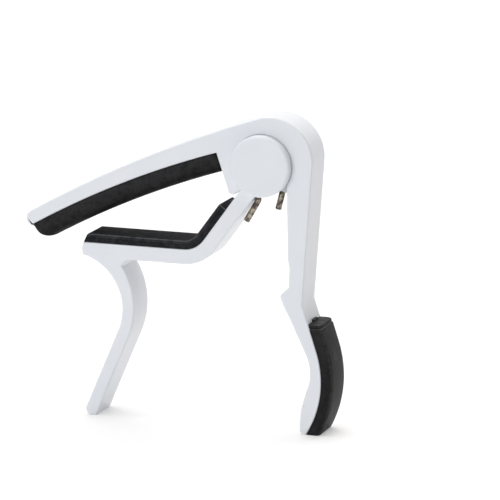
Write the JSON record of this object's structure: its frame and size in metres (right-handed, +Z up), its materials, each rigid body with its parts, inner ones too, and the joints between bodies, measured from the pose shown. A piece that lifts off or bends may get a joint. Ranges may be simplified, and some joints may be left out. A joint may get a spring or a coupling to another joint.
{
  "type": "guitar capo",
  "caption": "Sprung trigger capo: a padded string bar with a palm handle, and a hinged jaw with a padded neck shelf and a finger lever.",
  "frame": {"origin": "middle of the bounding box at the table level, under the capo as it stands on its two lever tips", "axes": "+X from the free tips towards the palm handle, +Y through the thickness of the bars away from the front face, +Z up"},
  "size_m": [0.0894, 0.0158, 0.0873],
  "materials": {
    "white_enamel": "glossy white enamel on a zinc alloy casting",
    "string_rubber": "matte black silicone with a fine mottled grain",
    "neck_rubber": "matte dark grey silicone",
    "grip_rubber": "matte black rubber, slightly worn grey",
    "nylon": "natural nylon",
    "spring_wire": "drawn spring steel wire",
    "pin_steel": "turned steel"
  },
  "bodies": {
    "frame": {"main_frame": "white_enamel", "string_pad": "string_rubber", "palm_grip": "grip_rubber", "spring_sleeve": "nylon", "torsion_spring": "spring_wire", "front_washer": "nylon", "rear_washer": "nylon"},
    "jaw": {"neck_jaw": "white_enamel", "neck_pad": "neck_rubber", "front_cap": "white_enamel", "rear_cap": "white_enamel", "pivot_pin": "pin_steel", "pin_clip": "pin_steel"}
  },
  "joints": [
    {"name": "jaw_pivot", "type": "hinge", "parent": "frame", "child": "jaw", "pos_m": [0.02435, 0, 0.074], "axis": [0, -1, 0], "range_deg": [0, 26], "stiffness_Nm_per_rad": 1.2, "springref_deg": -34.38, "deforming": ["torsion_spring"]}
  ]
}
